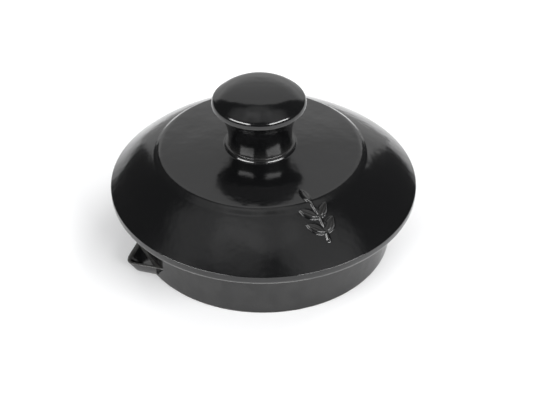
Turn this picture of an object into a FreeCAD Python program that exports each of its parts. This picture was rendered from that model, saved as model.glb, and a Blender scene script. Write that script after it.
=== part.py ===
"""Ceramic pot lid, cast in one piece: a skirt that drops into the pot, a rounded rim,
a domed top with a raised middle, a mushroom knob, a dished locking lug and a small leaf sprig.

The origin is on the lid's axis at the foot of the skirt, +Z up, millimetres."""
import FreeCAD
import Part
import math
import os
from FreeCAD import Vector

# rim and skirt
RIM_RADIUS = 52.0
RIM_SIDE_TOP = 2.6
RIM_BEVEL = 1.0
SKIRT_RADIUS = 44.1
SKIRT_DEPTH = 19.0
SKIRT_WALL = 4.4
FOOT_BEVEL = 0.9
SEAT_BEVEL = 1.0

# domed top, heights above the top of the rim's upright side
DOME_RISE = 12.4
DOME_EDGE_RISE = 0.75
STEP_RADIUS = 35.3
STEP_HEIGHT = 1.3
STEP_SLOPE = 40.0
PLATEAU_RISE = 1.2
TOP_WALL = 4.8
CEILING_SLANT_WIDTH = 12.0
CEILING_SLANT_DROP = 7.3

# knob, heights above the raised middle
KNOB_SHIFT = -1.1
KNOB_HEIGHT = 22.8
BEAD_RADIUS = 12.1
BEAD_ROUND = 0.8
BEAD_ARC = 130.0
CAP_RADIUS = 15.6
CAP_LIP_HEIGHT = 15.7
CAP_LIP_THICKNESS = 0.6
CAP_SIDE_ROUND = 4.5
WELL_RADIUS = 6.8
WELL_DEPTH = 20.5
WELL_BEVEL = 1.5

# locking lug on the skirt
LUG_AZIMUTH = 208.5
LUG_REACH = 7.7
LUG_HALF_WIDTH = 8.6
LUG_TIP_ROUND = 2.6
LUG_BOTTOM = 0.9
LUG_TOP = 5.8
LUG_UNDERCUT = 0.88
LUG_LIP = 1.0
LUG_DISH_DEPTH = 1.8
LUG_DISH_SLOPE = 0.65
LUG_EDGE_ROUND = 0.5
LUG_ROOT = 2.0

# leaf sprig in low relief on the dome, radii from the lid's axis
SPRIG_AZIMUTH = -63.0
RELIEF_HEIGHT = 0.9
RELIEF_ROOT = 1.2
STEM_FOOT = 46.0
STEM_TIP = 33.0
STEM_WIDTH = 1.5
STEM_NARROWING = 0.45
STEM_BOW = 0.9
LEAF_LENGTH = 6.2
LEAF_WIDTH = 3.0
LEAF_SPREAD = 52.0
LEAF_PAIR_RADII = (43.5, 39.0)

# how closely an edge lies at the height it is looked for
LEVEL = 0.001

RIM_LINE = SKIRT_DEPTH + RIM_SIDE_TOP
INNER_RADIUS = SKIRT_RADIUS - SKIRT_WALL
DOME_EDGE = RIM_LINE + DOME_EDGE_RISE
STEP_FOOT = RIM_LINE + DOME_RISE
PLATEAU_EDGE = STEP_FOOT + STEP_HEIGHT
PLATEAU_TOP = PLATEAU_EDGE + PLATEAU_RISE
CEILING = PLATEAU_EDGE - TOP_WALL


def point(radius, height):
    """A point of the meridian plane, at a radius and a height."""
    return Vector(radius, 0, height)


def line(start, end):
    """A straight edge."""
    return Part.LineSegment(start, end).toShape()


def arc(radius, height, bend, first, last):
    """An arc in the meridian plane about (radius, height), from one angle to another in degrees."""
    def at(angle):
        turn = math.radians(angle)
        return point(radius + bend * math.cos(turn), height + bend * math.sin(turn))
    return Part.Arc(at(first), at((first + last) / 2), at(last)).toShape()


def arc_about(center, start, end):
    """The shorter arc about a center, from one point to another."""
    toward = (start - center).normalize() + (end - center).normalize()
    middle = center + toward.normalize() * (start - center).Length
    return Part.Arc(start, middle, end).toShape()


def ball_center(low, high):
    """The center, on the lid's axis, of the ball whose skin passes through two points."""
    spread = high.z * high.z - low.z * low.z + high.x * high.x - low.x * low.x
    return point(0, spread / (high.z - low.z) / 2)


def top_line():
    """The top's line without its shoulder: the flank, the step and the raised middle.

    The flank is part of a ball centered on the axis. Its line is drawn on to the rim's
    radius, where it stands above the rim's upright side."""
    edge = point(RIM_RADIUS, DOME_EDGE)
    foot = point(STEP_RADIUS, STEP_FOOT)
    rise = point(-STEP_HEIGHT / math.tan(math.radians(STEP_SLOPE)), STEP_HEIGHT)
    brink = foot + rise
    knob_foot = point(BEAD_RADIUS, PLATEAU_TOP)
    return [
        arc_about(ball_center(edge, foot), edge, foot),
        line(foot, brink),
        line(brink, knob_foot),
        line(knob_foot, point(0, PLATEAU_TOP)),
    ]


def shell():
    """The skirt, rim and domed top as one turned wall, open below."""
    slant_foot = point(INNER_RADIUS, CEILING - CEILING_SLANT_DROP)
    slant_top = point(INNER_RADIUS - CEILING_SLANT_WIDTH, CEILING)
    edges = [
        line(point(INNER_RADIUS + FOOT_BEVEL, 0), point(SKIRT_RADIUS - FOOT_BEVEL, 0)),
        line(point(SKIRT_RADIUS - FOOT_BEVEL, 0), point(SKIRT_RADIUS, FOOT_BEVEL)),
        line(point(SKIRT_RADIUS, FOOT_BEVEL), point(SKIRT_RADIUS, SKIRT_DEPTH - SEAT_BEVEL)),
        line(point(SKIRT_RADIUS, SKIRT_DEPTH - SEAT_BEVEL), point(SKIRT_RADIUS + SEAT_BEVEL, SKIRT_DEPTH)),
        line(point(SKIRT_RADIUS + SEAT_BEVEL, SKIRT_DEPTH), point(RIM_RADIUS - RIM_BEVEL, SKIRT_DEPTH)),
        line(point(RIM_RADIUS - RIM_BEVEL, SKIRT_DEPTH), point(RIM_RADIUS, SKIRT_DEPTH + RIM_BEVEL)),
        line(point(RIM_RADIUS, SKIRT_DEPTH + RIM_BEVEL), point(RIM_RADIUS, RIM_LINE)),
    ]
    edges += shouldered(top_line())
    edges += [
        line(point(0, PLATEAU_TOP), point(0, CEILING)),
        line(point(0, CEILING), slant_top),
        line(slant_top, slant_foot),
        line(slant_foot, point(INNER_RADIUS, FOOT_BEVEL)),
        line(point(INNER_RADIUS, FOOT_BEVEL), point(INNER_RADIUS + FOOT_BEVEL, 0)),
    ]
    return turned(edges)


def shouldered(edges):
    """The top's line with a tight shoulder that leaves the rim's side upright and runs into the flank."""
    center = edges[0].Curve.Center
    bend = edges[0].Curve.Radius
    above = DOME_EDGE - center.z
    below = RIM_LINE - center.z
    shoulder = (above * above - below * below) / (bend - RIM_RADIUS) / 2
    hub = point(RIM_RADIUS - shoulder, RIM_LINE)
    touch = center + (hub - center).normalize() * bend
    foot = edges[0].Vertexes[-1].Point
    return [arc_about(hub, point(RIM_RADIUS, RIM_LINE), touch), arc_about(center, touch, foot)] + edges[1:]


def turned(edges):
    """A solid turned about the Z axis from a closed outline in the meridian plane."""
    face = Part.Face(Part.Wire(edges))
    return face.revolve(Vector(0, 0, 0), Vector(0, 0, 1), 360)


def knob():
    """The mushroom knob: a bead at its foot, a hollow-curved neck and a cap with a thin lip.

    The neck leaves the bead upright and spreads to the lip. The cap's side leaves the lip
    upright and runs into its crown, part of a ball centered on the knob's axis."""
    base = PLATEAU_TOP
    root = base - BEAD_ROUND
    bead = BEAD_RADIUS - BEAD_ROUND
    turn = math.radians(BEAD_ARC)
    waist = point(bead + BEAD_ROUND * math.cos(turn), base + BEAD_ROUND * math.sin(turn))
    lip = point(CAP_RADIUS, base + CAP_LIP_HEIGHT)
    rim = lip + point(0, CAP_LIP_THICKNESS)
    crown = point(0, base + KNOB_HEIGHT)
    flare = lip - waist
    neck = waist + point(flare.dot(flare) / flare.x / 2, 0)
    side = rim - point(CAP_SIDE_ROUND, 0)
    rise = crown.z - rim.z
    reach = side.x * side.x + rise * rise - CAP_SIDE_ROUND * CAP_SIDE_ROUND
    crown_bend = reach / (rise - CAP_SIDE_ROUND) / 2
    center = crown - point(0, crown_bend)
    touch = center + (side - center).normalize() * crown_bend
    edges = [
        line(point(0, root), point(BEAD_RADIUS, root)),
        line(point(BEAD_RADIUS, root), point(BEAD_RADIUS, base)),
        arc(bead, base, BEAD_ROUND, 0, BEAD_ARC),
        arc_about(neck, waist, lip),
        line(lip, rim),
        arc_about(side, rim, touch),
        arc_about(center, touch, crown),
        line(crown, point(0, root)),
    ]
    solid = turned(edges)
    solid.translate(Vector(KNOB_SHIFT, 0, 0))
    return solid


def well():
    """The hollow up the middle of the knob, open to the lid's inside, beveled at both ends."""
    wide = WELL_RADIUS + WELL_BEVEL
    narrow = WELL_RADIUS - WELL_BEVEL
    below = CEILING - WELL_BEVEL
    mouth = CEILING + WELL_BEVEL
    top = CEILING + WELL_DEPTH
    edges = [
        line(point(0, below), point(wide, below)),
        line(point(wide, below), point(wide, CEILING)),
        line(point(wide, CEILING), point(WELL_RADIUS, mouth)),
        line(point(WELL_RADIUS, mouth), point(WELL_RADIUS, top - WELL_BEVEL)),
        line(point(WELL_RADIUS, top - WELL_BEVEL), point(narrow, top)),
        line(point(narrow, top), point(0, top)),
        line(point(0, top), point(0, below)),
    ]
    solid = turned(edges)
    solid.translate(Vector(KNOB_SHIFT, 0, 0))
    return solid


def lug_outline(inset, height, root):
    """The lug's rounded-triangle outline at a height, drawn in by an inset, along +X.

    The two straight sides run from the root, at a radius, to the rounded tip."""
    bend = LUG_TIP_ROUND - inset
    tip = SKIRT_RADIUS + LUG_REACH - LUG_TIP_ROUND
    reach = tip - SKIRT_RADIUS
    side = math.atan2(LUG_HALF_WIDTH, reach) - math.asin(LUG_TIP_ROUND / math.hypot(reach, LUG_HALF_WIDTH))
    half_root = (tip - root) * math.tan(side) + bend / math.cos(side)
    touch_x = tip + bend * math.sin(side)
    touch_y = bend * math.cos(side)
    edges = [
        line(Vector(root, -half_root, height), Vector(touch_x, -touch_y, height)),
        Part.Arc(Vector(touch_x, -touch_y, height), Vector(tip + bend, 0, height),
                 Vector(touch_x, touch_y, height)).toShape(),
        line(Vector(touch_x, touch_y, height), Vector(root, half_root, height)),
        line(Vector(root, half_root, height), Vector(root, -half_root, height)),
    ]
    return Part.Wire(edges)


def level_edges(solid, height):
    """The edges of a solid that lie at one height."""
    found = []
    for edge in solid.Edges:
        box = edge.BoundBox
        if abs(box.ZMin - height) < LEVEL and abs(box.ZMax - height) < LEVEL:
            found.append(edge)
    return found


def lug():
    """The locking lug: a rounded-triangle tab low on the skirt with a dished top."""
    root = SKIRT_RADIUS - LUG_ROOT
    undercut = LUG_TIP_ROUND * LUG_UNDERCUT
    low = lug_outline(undercut, LUG_BOTTOM, root)
    high = lug_outline(0, LUG_TOP, root)
    block = Part.makeLoft([low, high], True, True)
    block = block.makeFillet(LUG_EDGE_ROUND, level_edges(block, LUG_TOP))
    floor = LUG_TOP - LUG_DISH_DEPTH
    inner = SKIRT_RADIUS + LUG_LIP
    slope = (LUG_TIP_ROUND - LUG_LIP) * LUG_DISH_SLOPE
    low = lug_outline(LUG_LIP + slope, floor, inner + slope)
    high = lug_outline(LUG_LIP, LUG_TOP, inner)
    dish = Part.makeLoft([low, high], True, True)
    tab = block.cut(dish)
    tab.rotate(Vector(0, 0, 0), Vector(0, 0, 1), LUG_AZIMUTH)
    return tab


def leaf_outline(radius, side, turn):
    """A pointed oval seen from above, its stem end at a radius of the lid and to one side of it.

    turn swings its point from the direction toward the axis."""
    half = LEAF_WIDTH / 2
    middle = -LEAF_LENGTH / 2
    root = Vector(0, 0, 0)
    tip = Vector(-LEAF_LENGTH, 0, 0)
    edges = [
        Part.Arc(root, Vector(middle, half, 0), tip).toShape(),
        Part.Arc(tip, Vector(middle, -half, 0), root).toShape(),
    ]
    outline = Part.Wire(edges)
    outline.rotate(root, Vector(0, 0, 1), turn)
    outline.translate(Vector(radius, side, 0))
    return outline


def stem_outline():
    """The stem seen from above: a slender, gently bowed band that narrows toward the knob."""
    half = STEM_WIDTH / 2
    slim = half * STEM_NARROWING
    middle = (STEM_FOOT + STEM_TIP) / 2
    edges = [
        Part.Arc(Vector(STEM_TIP, -slim, 0), Vector(middle, STEM_BOW - half, 0),
                 Vector(STEM_FOOT, -half, 0)).toShape(),
        line(Vector(STEM_FOOT, -half, 0), Vector(STEM_FOOT, half, 0)),
        Part.Arc(Vector(STEM_FOOT, half, 0), Vector(middle, STEM_BOW + half, 0),
                 Vector(STEM_TIP, slim, 0)).toShape(),
        line(Vector(STEM_TIP, slim, 0), Vector(STEM_TIP, -slim, 0)),
    ]
    return Part.Wire(edges)


def relief_skin():
    """A turned skin that stands proud of the top by the relief's height and reaches into its wall."""
    lift = point(0, RELIEF_HEIGHT)
    sink = point(0, RELIEF_ROOT)
    raised = top_line()
    sunk = top_line()
    for edge in raised:
        edge.translate(lift)
    for edge in sunk:
        edge.translate(-sink)
    outer = point(RIM_RADIUS, DOME_EDGE)
    inner = point(0, PLATEAU_TOP)
    edges = raised + [line(inner + lift, inner - sink)] + sunk[::-1] + [line(outer - sink, outer + lift)]
    return turned(edges)


def sprig():
    """A plain leaf sprig in low relief: a stem, pairs of leaves and one leaf at its inner end."""
    outlines = [stem_outline(), leaf_outline(STEM_TIP + STEM_WIDTH, 0, 0)]
    for radius in LEAF_PAIR_RADII:
        for turn in (LEAF_SPREAD, -LEAF_SPREAD):
            outlines.append(leaf_outline(radius, STEM_BOW / 2, turn))
    skin = relief_skin()
    pieces = []
    for outline in outlines:
        prism = Part.Face(outline).extrude(Vector(0, 0, PLATEAU_TOP + RELIEF_HEIGHT))
        piece = prism.common(skin)
        piece.rotate(Vector(0, 0, 0), Vector(0, 0, 1), SPRIG_AZIMUTH)
        pieces.append(piece)
    return pieces


def lid():
    """The whole lid as one solid."""
    body = shell().multiFuse([knob(), lug()] + sprig())
    body = body.cut(well())
    return body.removeSplitter()


os.makedirs("parts", exist_ok=True)
shape = lid()
print("solids", len(shape.Solids), "volume", round(shape.Volume, 1), "valid", shape.isValid())
shape.Solids[0].exportStep(os.path.join("parts", "lid.step"))
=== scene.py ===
"""Studio picture of a glazed black ceramic pot lid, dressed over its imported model.

The lid is one cast piece. Its sub-assemblies draw their stretches of one meridian line, which is
turned about the lid's axis. The leaf sprig, a hand-made unevenness and a slight lean are then
worked into the turned skin, and the locking lug is built on the skirt. The lid's sizes are written
in millimetres and the studio's in metres, and everything is made in metres.
"""

import logging
import math
from dataclasses import dataclass, field
from enum import Enum
from typing import Iterable

import bmesh
import bpy
from mathutils import Matrix, Vector, noise
from mathutils.geometry import interpolate_bezier


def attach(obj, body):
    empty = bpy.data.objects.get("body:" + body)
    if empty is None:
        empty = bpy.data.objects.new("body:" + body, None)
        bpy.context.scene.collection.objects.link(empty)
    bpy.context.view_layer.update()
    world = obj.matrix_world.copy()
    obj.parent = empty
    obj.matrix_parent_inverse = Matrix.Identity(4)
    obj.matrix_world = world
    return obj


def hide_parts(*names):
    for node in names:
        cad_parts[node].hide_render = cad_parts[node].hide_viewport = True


Pair = tuple[float, float]
Colour = tuple[float, float, float, float]

MM = 0.001
# Shares of no paler edge: the full dark coat, with neither thinner glaze nor painted highlight.
FULL_COAT_NO_SHEEN: Pair = (0.0, 0.0)
LOG = logging.getLogger("pot_lid")

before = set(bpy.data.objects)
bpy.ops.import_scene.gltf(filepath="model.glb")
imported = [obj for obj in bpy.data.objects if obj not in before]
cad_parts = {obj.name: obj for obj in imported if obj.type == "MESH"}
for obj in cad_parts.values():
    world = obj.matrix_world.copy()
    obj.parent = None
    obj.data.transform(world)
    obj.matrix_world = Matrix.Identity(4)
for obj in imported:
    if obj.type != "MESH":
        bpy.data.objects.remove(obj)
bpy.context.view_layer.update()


class Layer(Enum):
    """Names of the vertex attributes that the finishes read."""

    # Edges painted paler, partly as thinner glaze and partly as a painted highlight and reflection.
    THIN_GLAZE_AND_SHEEN = "glaze_thin"
    BARE = "bare_clay"


class Blend(Enum):
    """What a mix node mixes: its own data type and the type of its sockets."""

    COLOUR = ("RGBA", "RGBA")
    NUMBER = ("FLOAT", "VALUE")


def smooth_step(low: float, high: float, value: float) -> float:
    """Rises smoothly from 0 to 1 as value goes from low to high.

    Args:
        low: where the rise starts.
        high: where the rise ends.
        value: the number to look up.

    Returns:
        A number from 0 to 1.
    """
    share = min(1.0, max(0.0, (value - low) / (high - low)))
    return share * share * (3.0 - 2.0 * share)


@dataclass
class Stretch:
    """One smooth stretch of the meridian line.

    It has four Bezier poles in millimetres and is cut into steps. Its two ends are painted paler by
    the shares in thin, partly as thinner glaze and partly as a painted highlight; 0 is the full dark coat.
    """

    poles: tuple[Vector, Vector, Vector, Vector]
    steps: int
    thin_and_sheen: Pair = FULL_COAT_NO_SHEEN

    def points(self) -> list[Vector]:
        """The sampled points, in metres, both ends included."""
        return [point * MM for point in interpolate_bezier(*self.poles, self.steps + 1)]


def at(radius: float, height: float) -> Vector:
    """A point of the meridian plane.

    Args:
        radius: how far it is from the axis, in millimetres.
        height: how far it is above the table, in millimetres.

    Returns:
        The point.
    """
    return Vector((radius, 0.0, height))


def climb(slope: float, length: float) -> Vector:
    """A step that climbs toward the axis.

    Args:
        slope: how steep it is, in degrees.
        length: how long it is, in millimetres.

    Returns:
        The step.
    """
    return at(-length * math.cos(math.radians(slope)), length * math.sin(math.radians(slope)))


def straight(start: Vector, end: Vector, steps: int, thin_and_sheen: Pair = FULL_COAT_NO_SHEEN) -> Stretch:
    """A straight stretch.

    Args:
        start: first point.
        end: last point.
        steps: how many pieces it is cut into.
        thin_and_sheen: how much paler its two ends are painted, as thinner glaze and as a painted highlight.

    Returns:
        The stretch.
    """
    return Stretch((start, start.lerp(end, 1 / 3), start.lerp(end, 2 / 3), end), steps, thin_and_sheen)


def bend(centre: Vector, radius: float, first: float, last: float, steps: int,
         thin_and_sheen: Pair = FULL_COAT_NO_SHEEN) -> Stretch:
    """A circular stretch about a centre.

    Args:
        centre: middle of the circle.
        radius: its radius.
        first: angle of its first point, degrees.
        last: angle of its last point, degrees.
        steps: how many pieces it is cut into.
        thin_and_sheen: how much paler its two ends are painted, as thinner glaze and as a painted highlight.

    Returns:
        The stretch.
    """
    turn = math.radians(last - first)
    pull = 4 / 3 * math.tan(turn / 4) * radius

    def spoke(angle: float) -> Vector:
        """The unit vector at an angle of the meridian plane, in degrees."""
        return Vector((math.cos(math.radians(angle)), 0.0, math.sin(math.radians(angle))))

    start, end = centre + spoke(first) * radius, centre + spoke(last) * radius
    return Stretch((start, start + spoke(first + 90) * pull, end - spoke(last + 90) * pull, end), steps, thin_and_sheen)


@dataclass
class Corner:
    """A corner of the meridian line.

    The rounding starts at the given reach from it. It is painted paler at its start by thin, and all
    along the straight that leads to it by run, partly as thinner glaze and partly as a painted highlight.
    """

    apex: Vector
    reach: float = 0.0
    thin_and_sheen: float = 0.0
    run: float = 0.0


@dataclass
class Skirt:
    """The ring that drops into the pot, with a rounded foot."""

    radius: float = 44.1
    depth: float = 19.0
    wall: float = 4.4
    foot_round: float = 0.55
    seat_round: float = 1.3
    ceiling_foot: float = 23.2
    ceiling_round: float = 4.0
    # The whole outside is painted slightly paler: a painted reflection of the table, partly thinner glaze.
    outside_thin_and_sheen: float = 0.08

    def corners(self) -> list[Corner]:
        """The corners from the top of the inside wall, round the foot, to the rim's seat."""
        inner = self.radius - self.wall
        return [
            Corner(at(inner, self.ceiling_foot), self.ceiling_round),
            Corner(at(inner, 0), self.foot_round),
            Corner(at(self.radius, 0), self.foot_round),
            Corner(at(self.radius, self.depth), self.seat_round, run=self.outside_thin_and_sheen),
        ]


@dataclass
class Rim:
    """The overhanging rim: a flat seat below, a rounded lower edge and an upright side."""

    radius: float = 52.0
    seat: float = Skirt.depth
    side_top: float = 22.2
    under_round: float = 1.7
    # The rounded lower edge is painted paler: a painted highlight line, partly thinner glaze.
    edge_thin_and_sheen: float = 1.6

    def corners(self) -> list[Corner]:
        """The lower edge and the top of the upright side."""
        return [
            Corner(at(self.radius, self.seat), self.under_round, thin_and_sheen=self.edge_thin_and_sheen),
            Corner(at(self.radius, self.side_top)),
        ]


@dataclass
class Dome:
    """The domed top: a flank that is part of a ball, a soft step and an almost flat raised middle."""

    edge_height: float = 22.35
    step_radius: float = 35.3
    step_foot: float = 34.0
    step_height: float = 1.3
    step_before: float = 0.75
    step_after: float = 2.1
    step_pull: float = 1.05
    plateau_rise: float = 1.2
    plateau_slope: float = 4.4
    plateau_end_slope: float = 2.2
    # The shoulder over the rim and the step's top are painted paler: painted highlight, partly thinner glaze.
    shoulder_thin_and_sheen: float = 0.1
    step_thin_and_sheen: float = 0.03
    shoulder_cuts: int = 10
    flank_cuts: int = 74
    step_cuts: int = 20
    plateau_cuts: int = 40

    def ball(self, rim: Rim) -> tuple[Vector, float]:
        """The ball, centred on the axis, whose skin the flank follows.

        Args:
            rim: the rim at whose radius the ball's skin stands at the edge's height.

        Returns:
            Its centre and its radius.
        """
        low, high = at(rim.radius, self.edge_height), at(self.step_radius, self.step_foot)
        centre = at(0, (high.dot(high) - low.dot(low)) / (high.z - low.z) / 2)
        return centre, (low - centre).length

    def stretches(self, rim: Rim, middle_end: float) -> list[Stretch]:
        """The tight shoulder over the rim, the flank, the step and the raised middle.

        Args:
            rim: the rim that the shoulder rises from.
            middle_end: radius where the raised middle meets the knob's foot.

        Returns:
            The stretches, going inward and up.
        """
        centre, reach = self.ball(rim)
        above, below = self.edge_height - centre.z, rim.side_top - centre.z
        shoulder = (above ** 2 - below ** 2) / (reach - rim.radius) / 2
        hub = at(rim.radius - shoulder, rim.side_top)
        slant = math.degrees(math.atan2(hub.z - centre.z, hub.x))
        foot_turn = math.degrees(math.acos((self.step_radius + self.step_before) / reach))
        flank = bend(centre, reach, slant, foot_turn, self.flank_cuts)
        foot = flank.poles[3]
        edge = at(self.step_radius - self.step_after, self.step_foot + self.step_height)
        top = at(middle_end, edge.z + self.plateau_rise)
        third = (edge.x - top.x) / 3
        return [
            bend(hub, shoulder, 0, slant, self.shoulder_cuts, (self.shoulder_thin_and_sheen, 0.0)),
            flank,
            Stretch((foot, foot + climb(90 - foot_turn, self.step_pull),
                     edge - climb(self.plateau_slope, self.step_pull), edge),
                    self.step_cuts, (0.0, self.step_thin_and_sheen)),
            Stretch((edge, edge + climb(self.plateau_slope, third),
                     top - climb(self.plateau_end_slope, third), top), self.plateau_cuts),
        ]


@dataclass
class Knob:
    """The mushroom knob, hollow inside: a bead, a hollow-curved neck and a cap with a slim lip."""

    base: float = Dome.step_foot + Dome.step_height + Dome.plateau_rise
    height: float = 22.8
    bead_radius: float = 12.0
    bead_round: float = 0.95
    bead_fillet: float = 0.8
    bead_pull: float = 0.25
    neck_radius: float = 10.7
    neck_foot: float = 4.6
    neck_pull: float = 2.4
    cap_radius: float = 15.6
    lip_height: float = 15.7
    lip_thickness: float = 0.5
    lip_round: float = 0.25
    lip_turn: float = -50.0
    side_round: float = 2.6
    side_turn: float = 50.0
    crown_pull: float = 4.2
    crown_flatness: float = 9.2
    well_radius: float = 6.8
    well_depth: float = 20.5
    well_end_round: float = 3.0
    well_mouth_round: float = 1.8
    ceiling: float = 30.5
    ceiling_edge: float = 27.7
    ceiling_round: float = 4.0
    # The bead and the cap's lip are painted paler: painted highlight lines, partly thinner glaze.
    bead_thin_and_sheen: float = 0.12
    lip_foot_thin_and_sheen: float = 0.05
    lip_thin_and_sheen: float = 0.22
    fillet_cuts: int = 5
    bead_cuts: int = 10
    neck_foot_cuts: int = 9
    neck_cuts: int = 26
    lip_cuts: int = 4
    edge_cuts: int = 3
    side_cuts: int = 14
    crown_cuts: int = 30

    @property
    def foot_radius(self) -> float:
        """Radius where the fillet round the bead meets the raised middle."""
        reach = math.sqrt(self.bead_round ** 2 + 2 * self.bead_round * self.bead_fillet)
        return self.bead_radius - self.bead_round + reach

    def corners(self) -> list[Corner]:
        """The well up the middle of the knob, its mouth and the flat ceiling, from the axis outward."""
        top = self.ceiling + self.well_depth
        return [
            Corner(at(0, top)),
            Corner(at(self.well_radius, top), self.well_end_round),
            Corner(at(self.well_radius, self.ceiling), self.well_mouth_round),
            Corner(at(self.ceiling_edge, self.ceiling), self.ceiling_round),
        ]

    def stretches(self) -> list[Stretch]:
        """The bead with its fillet, the neck, the lip and the cap up to the axis."""
        bead = at(self.bead_radius - self.bead_round, self.base)
        slant = math.degrees(math.asin(self.bead_fillet / (self.bead_fillet + self.bead_round)))
        fillet = at(self.foot_radius, self.base + self.bead_fillet)
        bead_top = bead + at(0, self.bead_round)
        neck = at(self.neck_radius, self.base + self.neck_foot)
        lip = at(self.cap_radius - self.lip_round, self.base + self.lip_height)
        flare = lip - neck
        hollow = flare.dot(flare) / flare.x / 2
        turn = math.degrees(math.asin(flare.z / hollow))
        lip_line = lip + at(0, self.lip_round)
        side = at(self.cap_radius - self.side_round, lip_line.z + self.lip_thickness)
        crown = at(0, self.base + self.height)
        side_arc = bend(side, self.side_round, 0, self.side_turn, self.side_cuts)
        brow = side_arc.poles[3]
        return [
            bend(fillet, self.bead_fillet, -90, -180 + slant, self.fillet_cuts),
            bend(bead, self.bead_round, slant, 90, self.bead_cuts, (0.0, self.bead_thin_and_sheen)),
            Stretch((bead_top, bead_top - at(self.bead_pull, 0), neck - at(0, self.neck_pull), neck),
                    self.neck_foot_cuts, (self.bead_thin_and_sheen, 0.0)),
            bend(neck + at(hollow, 0), hollow, 180, 180 - turn, self.neck_cuts),
            bend(lip_line, self.lip_round, self.lip_turn, 0, self.lip_cuts,
                 (self.lip_foot_thin_and_sheen, self.lip_thin_and_sheen)),
            straight(lip_line + at(self.lip_round, 0), side + at(self.side_round, 0), self.edge_cuts,
                     (self.lip_thin_and_sheen, 0.0)),
            side_arc,
            Stretch((brow, brow + climb(90 - self.side_turn, self.crown_pull),
                     at(self.crown_flatness, crown.z), crown), self.crown_cuts),
        ]


def finished(name: str, mesh: bmesh.types.BMesh) -> bpy.types.Object:
    """Turns a bmesh into a smooth-shaded object at the origin.

    Args:
        name: the object's name.
        mesh: its geometry in metres, which is freed.

    Returns:
        The new object, linked to the scene.
    """
    data = bpy.data.meshes.new(name)
    mesh.to_mesh(data)
    mesh.free()
    data.shade_smooth()
    made = bpy.data.objects.new(name, data)
    bpy.context.collection.objects.link(made)
    return made


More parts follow.
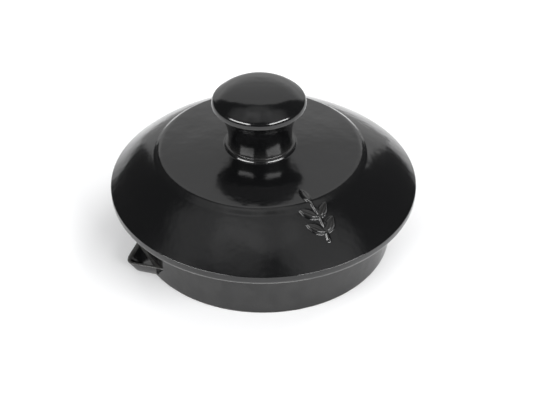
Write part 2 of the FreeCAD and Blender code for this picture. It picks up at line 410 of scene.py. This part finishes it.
@dataclass
class LeafSprig:
    """A plain leaf sprig in low relief on the right front of the dome, drawn in its own plane.

    Its local x runs outward from the lid's axis and its local y to the left of that. Only points of
    the skin between the near and far radii, within half_spread, are looked at.
    """

    azimuth: float = -63.0
    relief: float = 0.9
    stem_foot: float = 46.0
    stem_tip: float = 33.0
    stem_width: float = 1.5
    stem_narrowing: float = 0.45
    stem_bow: float = 0.9
    stem_relief: float = 0.85
    stem_fades: Pair = (0.06, 0.95)
    leaf_length: float = 6.2
    leaf_width: float = 3.0
    leaf_spread: float = 52.0
    leaf_fullness: float = 0.9
    leaf_pairs: Pair = (43.5, 39.0)
    midrib_depth: float = 0.28
    midrib_width: float = 0.22
    midrib_start: float = 0.25
    near: float = 24.0
    far: float = 49.0
    half_spread: float = 9.0
    lowest: float = 20.0
    least_upward: float = 0.1
    # The crowns of the leaves and stem are painted paler: partly thinner glaze, partly a painted highlight.
    ridge_thin_and_sheen: float = 0.12
    ridge_share: float = 0.55
    smoothings: int = 2
    smoothing: float = 0.5

    def leaves(self) -> list[tuple[Vector, Vector]]:
        """Each leaf's stem end and the direction of its point, in the sprig's own plane."""
        found = [(Vector((self.stem_tip + self.stem_width, 0.0)), Vector((-1.0, 0.0)))]
        for radius in self.leaf_pairs:
            for turn in (self.leaf_spread, -self.leaf_spread):
                angle = math.radians(180 + turn)
                toward = Vector((math.cos(angle), math.sin(angle)))
                found.append((Vector((radius, self.stem_bow / 2)), toward))
        return found

    def leaf_height(self, place: Vector, root: Vector, toward: Vector) -> float:
        """Height share of one leaf at a place: crowned, with a fine midrib groove.

        Args:
            place: where to look, in the sprig's own plane, millimetres.
            root: the leaf's stem end.
            toward: unit vector to its point.

        Returns:
            A share of the relief, 0 outside the leaf.
        """
        offset = place - root
        along = offset.dot(toward)
        if not 0.0 < along < self.leaf_length:
            return 0.0
        across = abs(offset.x * toward.y - offset.y * toward.x)
        share = along / self.leaf_length
        half = self.leaf_width / 2 * (4 * share * (1 - share)) ** self.leaf_fullness
        if across >= half:
            return 0.0
        crown = 1.0 - (across / half) ** 3
        groove = self.midrib_depth * math.exp(-(across / self.midrib_width) ** 2)
        return crown * (1.0 - groove * smooth_step(0.0, self.midrib_start, share))

    def stem_height(self, place: Vector) -> float:
        """Height share of the stem at a place.

        Args:
            place: where to look, in the sprig's own plane, millimetres.

        Returns:
            A share of the relief, 0 outside the stem.
        """
        span = self.stem_foot - self.stem_tip
        share = (place.x - self.stem_tip) / span
        if not 0.0 < share < 1.0:
            return 0.0
        line = self.stem_bow * 4 * share * (1 - share)
        half = self.stem_width / 2 * (self.stem_narrowing + (1 - self.stem_narrowing) * share)
        across = abs(place.y - line) / half
        tip_fade, foot_fade = self.stem_fades
        ends = smooth_step(0.0, tip_fade, share) * smooth_step(1.0, foot_fade, share)
        return max(0.0, 1.0 - across ** 2) * self.stem_relief * ends

    def height_at(self, place: Vector) -> float:
        """The sprig's height at a place.

        Args:
            place: where to look, in the sprig's own plane, millimetres.

        Returns:
            The height in millimetres.
        """
        shares = [self.leaf_height(place, root, toward) for root, toward in self.leaves()]
        return self.relief * max(shares + [self.stem_height(place)])

    def raise_from(self, skin: bmesh.types.BMesh) -> int:
        """Raises the sprig out of a turned skin along its normals.

        Args:
            skin: the lid's turned skin, in metres.

        Returns:
            How many vertices were moved.
        """
        skin.normal_update()
        turn = Matrix.Rotation(math.radians(-self.azimuth), 3, "Z")
        thin_and_sheen = skin.verts.layers.float[Layer.THIN_GLAZE_AND_SHEEN.value]
        moved = []
        for vertex in skin.verts:
            local = turn @ vertex.co / MM
            near_by = self.near < local.x < self.far and abs(local.y) <= self.half_spread
            if not near_by or local.z < self.lowest or vertex.normal.z < self.least_upward:
                continue
            rise = self.height_at(local.xy)
            if rise > 0:
                moved.append((vertex, vertex.normal * rise * MM, rise / self.relief))
        for vertex, step, share in moved:
            vertex.co += step
            # Paints the raised crowns paler, as thinner glaze and as a painted highlight.
            vertex[thin_and_sheen] = max(vertex[thin_and_sheen], self.ridge_thin_and_sheen * smooth_step(self.ridge_share, 1.0, share))
        raised = [vertex for vertex, _, _ in moved]
        for _ in range(self.smoothings):
            bmesh.ops.smooth_vert(skin, verts=raised, factor=self.smoothing, use_axis_x=True,
                                  use_axis_y=True, use_axis_z=True)
        return len(moved)


@dataclass
class LockingLug:
    """The rounded-triangle tab low on the skirt, with a dished top."""

    azimuth: float = 208.5
    skirt_radius: float = Skirt.radius
    reach: float = 7.7
    half_width: float = 8.6
    tip_round: float = 2.6
    tip_cuts: int = 14
    bottom: float = 0.9
    top: float = 5.8
    undercut: float = 0.88
    lip: float = 0.9
    dish_share: float = 0.8
    dish_depth: float = 2.6
    dish_turn: float = 36.0
    dish_shift: float = 0.4
    dish_rings: int = 9
    dish_bottom: float = 0.12
    dish_hollow: float = 1.2
    # The top of the lug round the dish is painted paler: a painted highlight, partly thinner glaze.
    brim_thin_and_sheen: float = 0.5
    brim_fade: float = 0.5
    sharp_angle: float = 24.0
    edge_round: float = 0.45
    edge_cuts: int = 4
    root: float = 2.0
    root_margin: float = 0.5
    merge: float = 1e-4
    level_within: float = 0.01

    @property
    def root_radius(self) -> float:
        """Radius of the lug's straight back edge, inside the skirt's wall."""
        return self.skirt_radius - self.root

    def side_slope(self) -> float:
        """Angle between the lug's straight side and its own radial line, radians."""
        span = self.reach - self.tip_round
        to_corner = math.hypot(span, self.half_width)
        return math.atan2(self.half_width, span) - math.asin(self.tip_round / to_corner)

    def flat_face(self, mesh: bmesh.types.BMesh, height: float) -> bmesh.types.BMFace:
        """The face that lies flat at a height.

        Args:
            mesh: the lug's mesh.
            height: where to look.

        Returns:
            The face.
        """
        return [face for face in mesh.faces
                if all(abs(vertex.co.z - height) < self.level_within for vertex in face.verts)][0]

    def draw_up(self) -> bmesh.types.BMesh:
        """Draws a rounded triangle up into a tab that is narrower below.

        Returns:
            The tab's mesh in millimetres, pointing along x.
        """
        mesh = bmesh.new()
        slope = self.side_slope()
        apex = self.skirt_radius + self.reach - self.tip_round + self.tip_round / math.sin(slope)
        length = apex - self.root_radius
        half = length * math.tan(slope)
        corners = ((self.root_radius, -half), (apex, 0), (self.root_radius, half))
        outline = [mesh.verts.new((x, y, self.bottom)) for x, y in corners]
        mesh.faces.new(outline)
        bmesh.ops.bevel(mesh, geom=[outline[1]], offset=self.tip_round / math.tan(slope),
                        segments=self.tip_cuts, affect="VERTICES", profile=0.5, material=-1,
                        offset_type="OFFSET")
        base = max(mesh.faces, key=lambda face: face.calc_area())
        drawn = bmesh.ops.extrude_face_region(mesh, geom=[base])
        raised = [item for item in drawn["geom"] if isinstance(item, bmesh.types.BMVert)]
        bmesh.ops.translate(mesh, verts=raised, vec=(0, 0, self.top - self.bottom))
        share = 1 - self.tip_round * self.undercut / math.sin(slope) / length
        bmesh.ops.scale(mesh, vec=(share, share, 1), verts=list(self.flat_face(mesh, self.bottom).verts),
                        space=Matrix.Translation((-self.root_radius, 0, 0)))
        return mesh

    def press(self, mesh: bmesh.types.BMesh, face: bmesh.types.BMFace) -> None:
        """Presses a smooth bowl into the lug's top.

        Args:
            mesh: the lug's mesh.
            face: the flat face inside the lip.
        """
        middle = Matrix.Translation(-face.calc_center_median_weighted())
        turn = math.radians(self.dish_turn)
        share = 1.0
        for ring in range(1, self.dish_rings + 1):
            face = bmesh.ops.extrude_discrete_faces(mesh, faces=[face])["faces"][0]
            smaller = 1.0 - (1.0 - self.dish_bottom) * ring / self.dish_rings
            bmesh.ops.scale(mesh, vec=(smaller / share, smaller / share, 1), verts=list(face.verts),
                            space=middle)
            aside = self.dish_shift * (share - smaller)
            drop = self.dish_depth * (share ** self.dish_hollow - smaller ** self.dish_hollow)
            bmesh.ops.translate(mesh, verts=list(face.verts),
                                vec=(aside * math.cos(turn), aside * math.sin(turn), -drop))
            share = smaller

    def is_sharp(self, edge: bmesh.types.BMEdge, brim: set[bmesh.types.BMEdge]) -> bool:
        """Whether an edge outside the skirt's wall is to be rounded.

        Args:
            edge: the edge to look at.
            brim: the edges round the dish.

        Returns:
            True for the folded edges of the brim and those that lie level at the top or the bottom.
        """
        if not edge.is_manifold or edge.calc_face_angle() <= math.radians(self.sharp_angle):
            return False
        first, second = (vertex.co for vertex in edge.verts)
        outside = first.x > self.root_radius + self.root_margin
        level = edge in brim or abs(first.z - second.z) < self.level_within
        at_end = first.z > self.top - self.level_within or first.z < self.bottom + self.level_within
        return outside and level and at_end

    def build(self) -> bpy.types.Object:
        """Makes the lug: a tab that is pressed in on top, with its edges rounded.

        Returns:
            The lug's object.
        """
        mesh = self.draw_up()
        top = self.flat_face(mesh, self.top)
        bmesh.ops.inset_region(mesh, faces=[top], thickness=self.lip, use_even_offset=True)
        tip = max(vertex.co.x for vertex in top.verts)
        bmesh.ops.scale(mesh, vec=(self.dish_share, self.dish_share, 1), verts=list(top.verts),
                        space=Matrix.Translation((-tip, 0, 0)))
        brim = set(top.edges)
        self.press(mesh, top)
        bmesh.ops.remove_doubles(mesh, verts=mesh.verts, dist=self.merge)
        sharp = [edge for edge in mesh.edges if self.is_sharp(edge, brim)]
        bmesh.ops.bevel(mesh, geom=sharp, offset=self.edge_round, segments=self.edge_cuts, affect="EDGES",
                        profile=0.5, material=-1, clamp_overlap=True)
        bmesh.ops.recalc_face_normals(mesh, faces=mesh.faces)
        thin_and_sheen = mesh.verts.layers.float.new(Layer.THIN_GLAZE_AND_SHEEN.value)
        # Paints the top paler, fading in just below it, as a painted highlight and thinner glaze.
        for vertex in mesh.verts:
            vertex[thin_and_sheen] = self.brim_thin_and_sheen * smooth_step(self.top - self.brim_fade, self.top, vertex.co.z)
        bmesh.ops.scale(mesh, vec=(MM, MM, MM), verts=mesh.verts)
        bmesh.ops.rotate(mesh, verts=mesh.verts, cent=(0, 0, 0),
                         matrix=Matrix.Rotation(math.radians(self.azimuth), 3, "Z"))
        return finished("locking_lug", mesh)


@dataclass
class CastLid:
    """The whole cast lid: one meridian line turned about the axis, then worked by hand."""

    skirt: Skirt = field(default_factory=Skirt)
    rim: Rim = field(default_factory=Rim)
    dome: Dome = field(default_factory=Dome)
    knob: Knob = field(default_factory=Knob)
    sprig: LeafSprig = field(default_factory=LeafSprig)
    lug: LockingLug = field(default_factory=LockingLug)
    line_spacing: float = 1.8
    corner_pull: float = 0.56
    corner_cuts: int = 7
    fine_sector: float = 30.0
    fine_steps: int = 110
    coarse_steps: int = 170
    merge: float = 2e-6
    bare_heights: Pair = (0.1, 0.9)
    waviness: float = 0.10
    wave_heights: Pair = (20.5, 24.0)
    wave_inner: Pair = (2.0, 8.0)
    wave_outer: Pair = (47.0, 51.0)
    long_wave: float = 55.0
    short_wave: float = 120.0
    short_share: float = 0.5
    dome_lean: float = -0.95
    knob_lean: float = -0.35
    knob_lean_heights: Pair = (38.0, 53.0)

    def rounded_path(self, corners: list[Corner]) -> list[Stretch]:
        """Straight lines joined by softly rounded corners.

        Args:
            corners: the corners in order; the two ends are sharp.

        Returns:
            The stretches in order.
        """
        path = []
        start = corners[0].apex
        for before, corner, after in zip(corners, corners[1:], corners[2:]):
            apex = corner.apex
            into = apex + (before.apex - apex).normalized() * corner.reach
            out = apex + (after.apex - apex).normalized() * corner.reach
            path.append(straight(start, into, self.cuts(start, into), (corner.run, corner.run)))
            poles = (into, into.lerp(apex, self.corner_pull), out.lerp(apex, self.corner_pull), out)
            path.append(Stretch(poles, self.corner_cuts, (corner.thin_and_sheen, 0.0)))
            start = out
        end = corners[-1].apex
        path.append(straight(start, end, self.cuts(start, end)))
        return path

    def cuts(self, start: Vector, end: Vector) -> int:
        """How many pieces a straight line is cut into.

        Args:
            start: first point.
            end: last point.

        Returns:
            The number of pieces, at least one.
        """
        return max(1, round((end - start).length / self.line_spacing))

    def meridian(self) -> list[Stretch]:
        """The line from the well's end, round the foot and the rim, to the cap's crown."""
        under = self.knob.corners() + self.skirt.corners() + self.rim.corners()
        return (self.rounded_path(under)
                + self.dome.stretches(self.rim, self.knob.foot_radius)
                + self.knob.stretches())

    def draw(self, mesh: bmesh.types.BMesh) -> list[bmesh.types.BMEdge]:
        """Draws the meridian line as a chain of edges at the start of the fine sector.

        Args:
            mesh: where the line is drawn.

        Returns:
            The line's edges in order.
        """
        thin_and_sheen = mesh.verts.layers.float.new(Layer.THIN_GLAZE_AND_SHEEN.value)
        bare = mesh.verts.layers.float.new(Layer.BARE.value)
        turn = Matrix.Rotation(math.radians(self.sprig.azimuth - self.fine_sector / 2), 3, "Z")
        edges: list[bmesh.types.BMEdge] = []
        last = None
        for stretch in self.meridian():
            points = stretch.points()
            for step, point in enumerate(points):
                if last is not None and step == 0:
                    continue
                share = step / (len(points) - 1)
                vertex = mesh.verts.new(turn @ point)
                # The paler edge is painted here: partly thinner glaze, partly a painted highlight.
                vertex[thin_and_sheen] = stretch.thin_and_sheen[0] + (stretch.thin_and_sheen[1] - stretch.thin_and_sheen[0]) * share
                vertex[bare] = 1.0 - smooth_step(*self.bare_heights, point.z / MM)
                if last is not None:
                    edges.append(mesh.edges.new((last, vertex)))
                last = vertex
        return edges

    def turn_skin(self) -> bmesh.types.BMesh:
        """Turns the line about the axis, finely where the sprig is, and closes seam and poles.

        Returns:
            The closed skin in metres.
        """
        mesh = bmesh.new()
        line = self.draw(mesh)
        start = line + list({vertex for edge in line for vertex in edge.verts})
        swept = bmesh.ops.spin(mesh, geom=start, cent=(0, 0, 0), axis=(0, 0, 1), use_merge=False,
                               angle=math.radians(self.fine_sector), steps=self.fine_steps)
        bmesh.ops.spin(mesh, geom=swept["geom_last"], cent=(0, 0, 0), axis=(0, 0, 1), use_merge=False,
                       angle=math.radians(360 - self.fine_sector), steps=self.coarse_steps)
        bmesh.ops.remove_doubles(mesh, verts=mesh.verts, dist=self.merge)
        bmesh.ops.recalc_face_normals(mesh, faces=mesh.faces)
        return mesh

    def lean(self, skin: bmesh.types.BMesh) -> None:
        """Lets the dome and the knob stand a little to one side, as they settled in the kiln.

        Args:
            skin: the lid's turned skin, in metres.
        """
        for vertex in skin.verts:
            height = vertex.co.z / MM
            shift = self.dome_lean * smooth_step(self.rim.side_top, self.dome.step_foot, height)
            shift += self.knob_lean * smooth_step(*self.knob_lean_heights, height)
            vertex.co.x += shift * MM

    def unsettle(self, skin: bmesh.types.BMesh) -> None:
        """Gives the top the faint unevenness of a cast and hand-finished piece.

        Args:
            skin: the lid's turned skin, in metres.
        """
        skin.normal_update()
        for vertex in skin.verts:
            reach = vertex.co.xy.length / MM
            share = smooth_step(*self.wave_heights, vertex.co.z / MM)
            share *= 1 - smooth_step(*self.wave_outer, reach)
            share *= smooth_step(*self.wave_inner, reach)
            if share > 0:
                wave = noise.noise(vertex.co * self.long_wave)
                wave += self.short_share * noise.noise(vertex.co * self.short_wave)
                vertex.co += vertex.normal * wave * share * self.waviness * MM

    def build(self) -> list[bpy.types.Object]:
        """Makes the turned body and the lug.

        Returns:
            The two objects.
        """
        skin = self.turn_skin()
        raised = self.sprig.raise_from(skin)
        LOG.info("sprig raised from %d points", raised)
        self.unsettle(skin)
        self.lean(skin)
        return [finished("glazed_body", skin), self.lug.build()]


class Wiring:
    """Adds nodes to a node tree and joins them up."""

    def __init__(self, tree: bpy.types.NodeTree) -> None:
        """Takes the tree.

        Args:
            tree: the node tree to work on.
        """
        self.nodes, self.links = tree.nodes, tree.links

    def feed(self, socket: bpy.types.NodeSocket, value: object) -> None:
        """Gives a socket a link or a plain value.

        Args:
            socket: the input.
            value: the output that feeds it, or its plain value.
        """
        if isinstance(value, bpy.types.NodeSocket):
            self.links.new(value, socket)
        else:
            socket.default_value = value

    def work(self, operation: str, *terms: object) -> bpy.types.NodeSocket:
        """Works out a sum, product or the like.

        Args:
            operation: the math node's operation.
            terms: outputs or plain numbers.

        Returns:
            The result's output.
        """
        node = self.nodes.new("ShaderNodeMath")
        node.operation = operation
        for socket, term in zip(node.inputs, terms):
            self.feed(socket, term)
        return node.outputs[0]

    def rise(self, source: bpy.types.NodeSocket, span: Pair, ends: Pair = (0.0, 1.0)) -> bpy.types.NodeSocket:
        """Rises smoothly between two values as the source goes over a span.

        Args:
            source: what is looked up.
            span: where the rise starts and ends.
            ends: the values below and above it.

        Returns:
            The result's output.
        """
        node = self.nodes.new("ShaderNodeMapRange")
        node.interpolation_type = "SMOOTHSTEP"
        for name, value in zip(("From Min", "From Max", "To Min", "To Max"), (*span, *ends)):
            node.inputs[name].default_value = value
        self.links.new(source, node.inputs["Value"])
        return node.outputs["Result"]

    def mix(self, kind: Blend, share: bpy.types.NodeSocket, first: object,
            second: object) -> bpy.types.NodeSocket:
        """Mixes two colours or two numbers.

        Args:
            kind: what is mixed.
            share: how much of the second there is, from 0 to 1.
            first: an output or a plain value.
            second: another of the same kind.

        Returns:
            The result's output.
        """
        node = self.nodes.new("ShaderNodeMix")
        node.data_type, socket_type = kind.value
        self.links.new(share, node.inputs["Factor"])
        for name, value in (("A", first), ("B", second)):
            sockets = [item for item in node.inputs if item.name == name and item.type == socket_type]
            self.feed(sockets[0], value)
        return [item for item in node.outputs if item.type == socket_type][0]


def new_material(name: str) -> tuple[bpy.types.Material, Wiring]:
    """Makes a material with nodes.

    Args:
        name: its name.

    Returns:
        The material and the wiring of its tree.
    """
    made = bpy.data.materials.new(name)
    made.use_nodes = True
    return made, Wiring(made.node_tree)


@dataclass(frozen=True)
class Grain:
    """A cloudy pattern: how fine it is and how many finer layers it holds."""

    scale: float
    detail: float


@dataclass(frozen=True)
class BlackGlaze:
    """Glossy black glaze over dark clay, none on the foot; edges painted paler as thinner glaze and painted
    highlight.
    """

    deep: Colour = (0.0042, 0.0043, 0.0046, 1.0)
    # Edge colour, paler than the bare clay: partly thinner glaze, partly a painted highlight and reflection.
    thin_and_sheen: Colour = (0.16, 0.157, 0.152, 1.0)
    clay: Colour = (0.060, 0.055, 0.050, 1.0)
    roughness: Pair = (0.12, 0.16)
    clay_roughness: float = 0.75
    refraction: float = 1.56
    bare_edge: Pair = (0.45, 0.6)
    mottle: Grain = Grain(180.0, 3.0)
    mottle_span: Pair = (0.35, 0.65)
    mottle_shares: Pair = (0.45, 1.0)
    satin: Grain = Grain(90.0, 2.0)
    satin_span: Pair = (0.3, 0.7)
    ripples: tuple[tuple[Grain, float], ...] = ((Grain(320.0, 1.0), 0.0002), (Grain(70.0, 1.0), 0.0006))
    ripple_strength: float = 0.35

    def build(self) -> bpy.types.Material:
        """Makes the material.

        Returns:
            The glaze's material.
        """
        made, wire = new_material("black_glaze")
        shader = wire.nodes["Principled BSDF"]
        shader.inputs["IOR"].default_value = self.refraction
        place = wire.nodes.new("ShaderNodeTexCoord").outputs["Object"]

        def cloud(grain: Grain) -> bpy.types.NodeSocket:
            """The output of a cloudy pattern on the lid."""
            texture = wire.nodes.new("ShaderNodeTexNoise")
            texture.inputs["Scale"].default_value = grain.scale
            texture.inputs["Detail"].default_value = grain.detail
            wire.links.new(place, texture.inputs["Vector"])
            return texture.outputs["Fac"]

        def attribute(layer: Layer) -> bpy.types.NodeSocket:
            """The output of a vertex attribute."""
            node = wire.nodes.new("ShaderNodeAttribute")
            node.attribute_name = layer.value
            return node.outputs["Fac"]

        mottle = wire.rise(cloud(self.mottle), self.mottle_span, self.mottle_shares)
        # Edges are mixed toward the pale colour: a painted highlight and reflection, partly thinner glaze.
        edge = wire.work("MULTIPLY", attribute(Layer.THIN_GLAZE_AND_SHEEN), mottle)
        bare = wire.rise(attribute(Layer.BARE), self.bare_edge)
        glaze = wire.mix(Blend.COLOUR, edge, self.deep, self.thin_and_sheen)
        wire.feed(shader.inputs["Base Color"], wire.mix(Blend.COLOUR, bare, glaze, self.clay))
        satin = wire.rise(cloud(self.satin), self.satin_span, self.roughness)
        wire.feed(shader.inputs["Roughness"], wire.mix(Blend.NUMBER, bare, satin, self.clay_roughness))
        normal = None
        for grain, height in self.ripples:
            bump = wire.nodes.new("ShaderNodeBump")
            bump.inputs["Strength"].default_value = self.ripple_strength
            bump.inputs["Distance"].default_value = height
            wire.links.new(cloud(grain), bump.inputs["Height"])
            if normal is not None:
                wire.links.new(normal, bump.inputs["Normal"])
            normal = bump.outputs["Normal"]
        wire.links.new(normal, shader.inputs["Normal"])
        return made


@dataclass(frozen=True)
class TableWhite:
    """The plain pale paint of the table top."""

    colour: Colour = (0.93, 0.932, 0.938, 1.0)
    roughness: float = 0.9
    specular: float = 0.1

    def build(self) -> bpy.types.Material:
        """Makes the material.

        Returns:
            The table's material.
        """
        made, wire = new_material("table_white")
        shader = wire.nodes["Principled BSDF"]
        shader.inputs["Base Color"].default_value = self.colour
        shader.inputs["Roughness"].default_value = self.roughness
        shader.inputs["Specular IOR Level"].default_value = self.specular
        return made


@dataclass(frozen=True)
class LitPaper:
    """Paper lit from behind. Its light is given as pairs of height in metres and radiance."""

    light: tuple[Pair, ...] = (
        (0.0, 0.6), (0.065, 0.7), (0.10, 1.0), (0.157, 0.72), (0.24, 0.8), (0.40, 0.95), (0.58, 0.95))

    def build(self) -> bpy.types.Material:
        """Makes the material.

        Returns:
            The paper's material.
        """
        made, wire = new_material("lit_paper")
        wire.nodes.clear()
        tallest = self.light[-1][0]
        axes = wire.nodes.new("ShaderNodeSeparateXYZ")
        wire.links.new(wire.nodes.new("ShaderNodeTexCoord").outputs["Object"], axes.inputs[0])
        levels = wire.nodes.new("ShaderNodeValToRGB")
        levels.color_ramp.interpolation = "EASE"
        marks = levels.color_ramp.elements
        for mark, (height, light) in zip((marks[0], marks[1]), (self.light[0], self.light[-1])):
            mark.position, mark.color = height / tallest, (light, light, light, 1)
        for height, light in self.light[1:-1]:
            marks.new(height / tallest).color = (light, light, light, 1)
        wire.links.new(wire.work("DIVIDE", axes.outputs["Z"], tallest), levels.inputs["Fac"])
        paper = wire.nodes.new("ShaderNodeEmission")
        wire.links.new(levels.outputs["Color"], paper.inputs["Color"])
        output = wire.nodes.new("ShaderNodeOutputMaterial")
        wire.links.new(paper.outputs["Emission"], output.inputs["Surface"])
        return made


def heading(azimuth: float, elevation: float) -> Vector:
    """The unit vector toward a place round the lid.

    Args:
        azimuth: degrees round from the front, positive to the right.
        elevation: degrees above the table.

    Returns:
        The unit vector.
    """
    turn, tilt = math.radians(azimuth), math.radians(elevation)
    return Vector((math.sin(turn) * math.cos(tilt), -math.cos(turn) * math.cos(tilt), math.sin(tilt)))


@dataclass(frozen=True)
class Glow:
    """A round patch of light on the tent, full within inner and gone beyond outer, in degrees."""

    azimuth: float
    elevation: float
    inner: float
    outer: float
    radiance: float


@dataclass(frozen=True)
class Softbox:
    """A flat lamp that faces the lid.

    Its radiance is 1 where it is as bright as the white table, and a lamp that isn't mirrored lights
    the lid but doesn't show in the glaze.
    """

    name: str
    azimuth: float
    elevation: float
    size: Pair
    radiance: float
    mirrored: bool = True

    def build(self, distance: float) -> None:
        """Makes the lamp.

        Args:
            distance: how far from the lid it stands, in metres.
        """
        data = bpy.data.lights.new(self.name, "AREA")
        data.shape = "RECTANGLE"
        data.size, data.size_y = self.size
        data.energy = self.radiance * math.pi * self.size[0] * self.size[1]
        lamp = bpy.data.objects.new(self.name, data)
        bpy.context.collection.objects.link(lamp)
        toward = heading(self.azimuth, self.elevation)
        lamp.location = toward * distance
        lamp.rotation_euler = toward.to_track_quat("Z", "Y").to_euler()
        lamp.visible_camera = False
        lamp.visible_glossy = self.mirrored


@dataclass
class Viewpoint:
    """The camera, at the picture's viewing angle.

    Lengths are in metres unless their name ends in px or mm, and angles are in degrees.
    """

    elevation: float = 37.1
    distance: float = 0.416
    aim_height: float = 0.0205
    roll: float = -0.32
    focal_px: float = 1212.0
    frame_px: Pair = (533.0, 400.0)
    centre_px: Pair = (263.4, 181.0)
    sensor_mm: float = 36.0
    nearest: float = 0.01

    def build(self) -> None:
        """Makes the camera and gives the scene to it."""
        data = bpy.data.cameras.new("camera")
        wide, high = self.frame_px
        data.sensor_width = self.sensor_mm
        data.lens = self.focal_px * self.sensor_mm / wide
        data.shift_x = (wide / 2 - self.centre_px[0]) / wide
        data.shift_y = -(high / 2 - self.centre_px[1]) / wide
        data.clip_start = self.nearest
        back = heading(0.0, self.elevation)
        camera = bpy.data.objects.new("camera", data)
        turn = back.to_track_quat("Z", "Y").to_matrix() @ Matrix.Rotation(math.radians(self.roll), 3, "Z")
        place = Vector((0, 0, self.aim_height)) + back * self.distance
        camera.matrix_world = Matrix.Translation(place) @ turn.to_4x4()
        bpy.context.collection.objects.link(camera)
        bpy.context.scene.camera = camera


@dataclass
class Studio:
    """The pale table, the surroundings that the glaze reflects, the lamps and the camera.

    Directions are degrees round from the front, positive to the right, and degrees above the table.
    The screen's sides are pairs of height and half width, and the tent's light is pairs of elevation
    and radiance, which the curve holds as shares of tent_full.
    """

    floor_size: float = 3.0
    screen_behind: float = 0.16
    screen_sides: tuple[Pair, ...] = (
        (0.0, 0.105), (0.048, 0.133), (0.128, 0.181), (0.211, 0.205), (0.33, 0.208), (0.44, 0.185),
        (0.53, 0.13), (0.58, 0.05))
    tent: tuple[Pair, ...] = ((-10, 0.05), (20, 0.06), (45, 0.05), (62, 0.05), (90, 0.13))
    tent_full: float = 2.0
    glows: tuple[Glow, ...] = (
        Glow(58, 55, 8, 26, 0.5),
        Glow(-28, 66, 6, 20, 0.35),
        Glow(-76, 58, 6, 22, 0.4),
        Glow(0, 86, 10, 24, 0.4))
    lamps: tuple[Softbox, ...] = (
        Softbox("softbox_left", -48, 30, (0.80, 0.20), 17),
        Softbox("softbox_right", 48, 30, (0.80, 0.20), 18),
        Softbox("softbox_back", 134, 45, (0.7, 0.5), 4.2, mirrored=False),
        Softbox("softbox_top", 0, 88, (1.0, 1.0), 0.2, mirrored=False))
    lamp_distance: float = 1.0

    def build_floor(self) -> None:
        """Makes the plain pale table top."""
        mesh = bmesh.new()
        bmesh.ops.create_grid(mesh, x_segments=1, y_segments=1, size=self.floor_size)
        floor = finished("table_top", mesh)
        floor.data.materials.append(TableWhite().build())

    def build_screen(self) -> None:
        """Makes the bright paper screen that stands close behind the lid, seen in the glaze only."""
        mesh = bmesh.new()
        corners = [mesh.verts.new((side * width, self.screen_behind, height))
                   for side, edge in ((1, self.screen_sides), (-1, self.screen_sides[::-1]))
                   for height, width in edge]
        mesh.faces.new(corners)
        screen = finished("paper_screen", mesh)
        screen.visible_camera = False
        screen.visible_shadow = False
        screen.data.materials.append(LitPaper().build())

    def tent_light(self, wire: Wiring, height: bpy.types.NodeSocket) -> bpy.types.NodeSocket:
        """The tent's own light by elevation.

        Args:
            wire: the wiring of the world's tree.
            height: the elevation in radians.

        Returns:
            The output that holds the light.
        """
        low, high = self.tent[0][0], self.tent[-1][0]
        node = wire.nodes.new("ShaderNodeFloatCurve")
        curve = node.mapping.curves[0]
        shares = [((elevation - low) / (high - low), radiance / self.tent_full)
                  for elevation, radiance in self.tent]
        curve.points[0].location, curve.points[-1].location = shares[0], shares[-1]
        for share in shares[1:-1]:
            curve.points.new(*share)
        node.mapping.update()
        above = wire.work("SUBTRACT", height, math.radians(low))
        wire.links.new(wire.work("DIVIDE", above, math.radians(high - low)), node.inputs["Value"])
        return wire.work("MULTIPLY", node.outputs[0], self.tent_full)

    def build_surroundings(self) -> None:
        """Makes the dim tent round the table with its soft glows; the camera sees plain white."""
        world = bpy.data.worlds.new("light_tent")
        bpy.context.scene.world = world
        world.use_nodes = True
        wire = Wiring(world.node_tree)
        direction = wire.nodes.new("ShaderNodeTexCoord").outputs["Generated"]
        axes = wire.nodes.new("ShaderNodeSeparateXYZ")
        wire.links.new(direction, axes.inputs[0])
        light = self.tent_light(wire, wire.work("ARCSINE", axes.outputs["Z"]))
        for glow in self.glows:
            toward = wire.nodes.new("ShaderNodeVectorMath")
            toward.operation = "DOT_PRODUCT"
            wire.links.new(direction, toward.inputs[0])
            toward.inputs[1].default_value = heading(glow.azimuth, glow.elevation)
            span = (math.cos(math.radians(glow.outer)), math.cos(math.radians(glow.inner)))
            patch = wire.rise(toward.outputs["Value"], span, (0.0, glow.radiance))
            light = wire.work("ADD", light, patch)
        seen = wire.nodes.new("ShaderNodeLightPath").outputs["Is Camera Ray"]
        hidden = wire.work("MULTIPLY", light, wire.work("SUBTRACT", 1.0, seen))
        background = wire.nodes["Background"]
        background.inputs["Color"].default_value = (1, 1, 1, 1)
        wire.links.new(wire.work("ADD", hidden, seen), background.inputs["Strength"])

    def build(self) -> None:
        """Makes the floor, the surroundings, the lamps and the camera."""
        self.build_floor()
        self.build_screen()
        self.build_surroundings()
        for lamp in self.lamps:
            lamp.build(self.lamp_distance)
        Viewpoint().build()
        bpy.context.scene.view_settings.view_transform = "Standard"


def dress(pieces: Iterable[bpy.types.Object], glaze: bpy.types.Material) -> None:
    """Gives each piece its finish and puts it on the lid's body.

    Args:
        pieces: the lid's objects.
        glaze: the finish.
    """
    for piece in pieces:
        piece.data.materials.append(glaze)
        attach(piece, "root")
        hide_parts("lid")
        LOG.info("%s: %d faces", piece.name, len(piece.data.polygons))


def main() -> None:
    """Builds the studio and the lid."""
    logging.basicConfig(level=logging.INFO)
    Studio().build()
    dress(CastLid().build(), BlackGlaze().build())


if __name__ == "__main__":
    main()
